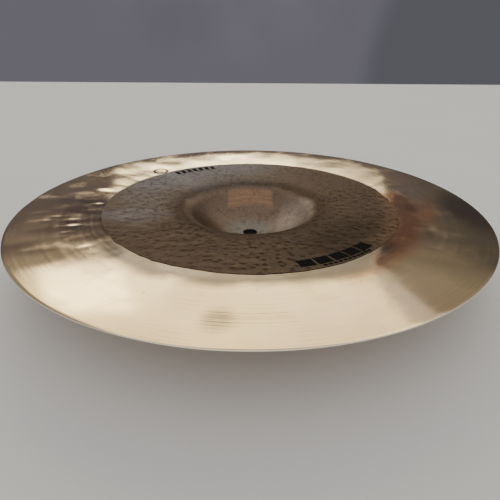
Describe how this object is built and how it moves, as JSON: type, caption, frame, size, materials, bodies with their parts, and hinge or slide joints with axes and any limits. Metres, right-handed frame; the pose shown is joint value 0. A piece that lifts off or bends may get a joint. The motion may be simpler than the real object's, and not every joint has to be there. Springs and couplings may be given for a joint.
{
  "type": "crash cymbal",
  "caption": "Thin hammered bronze crash cymbal with a cup bell, a dark raw centre, a bright lathed outer ring and a central hole, lying hollow side up.",
  "frame": {"origin": "on the axis of the centre hole, at the lowest level of the bell, which the cymbal lies on", "axes": "+Z along the axis of the hole and out of the hollow side; the cymbal lies bell down, so it is turned over, -Z up, to hang on a stand; +X and +Y are square to it, and the near printed row of blocks is in the -Y, +X quarter"},
  "size_m": [0.3556, 0.3556, 0.0385],
  "materials": {
    "bronze": "hammered cast bronze: satin raw centre, polished lathed outer ring",
    "ink": "matt black screen-printed ink"
  },
  "bodies": {
    "root": {"cymbal_disc": "bronze", "ink_block_row": "ink", "ink_dash_row": "ink", "ink_bar_row": "ink", "ink_loop": "ink"}
  },
  "joints": []
}
